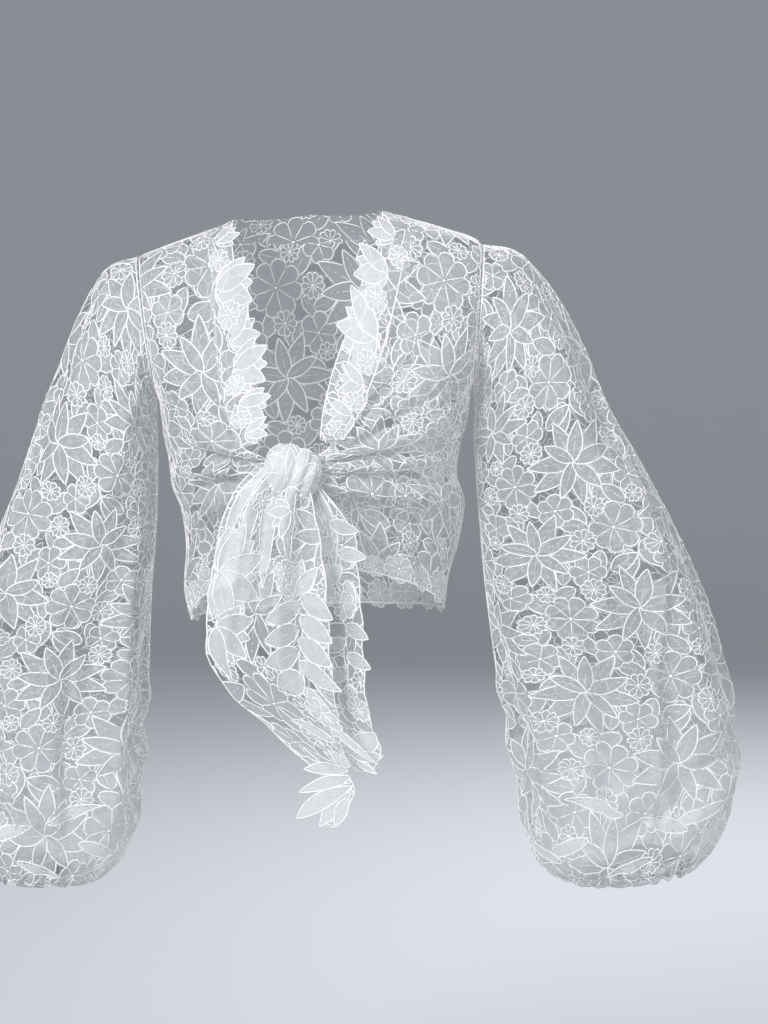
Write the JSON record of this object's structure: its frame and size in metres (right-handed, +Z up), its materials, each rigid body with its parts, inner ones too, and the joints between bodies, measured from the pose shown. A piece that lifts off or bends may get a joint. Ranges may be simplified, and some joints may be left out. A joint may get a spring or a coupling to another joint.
{
  "type": "tie-front blouse",
  "caption": "Cropped tie-front blouse of sheer cut-work lace with long balloon sleeves, in its worn shape.",
  "frame": {"origin": "between the shoulders, level with the shoulder seams, where the wearer's shoulders hold the blouse", "axes": "+X to the wearer's left, +Y to the back, +Z up"},
  "size_m": [0.8126, 0.26, 0.6891],
  "materials": {
    "lace": "sheer white organza embroidered with satin cord, with open cut-work",
    "band": "dense white embroidered edge with leaf points",
    "tie": "bunched white lace",
    "casing": "white gathered elastic casing"
  },
  "bodies": {
    "root": {"back": "lace", "band_back": "band", "knot": "tie", "tail_right": "lace", "tail_left": "lace", "front_left": "lace", "band_left": "band", "sleeve_left_front": "lace", "sleeve_left_back": "lace", "cuff_left": "casing", "front_right": "lace", "band_right": "band", "sleeve_right_front": "lace", "sleeve_right_back": "lace", "cuff_right": "casing"}
  },
  "joints": []
}
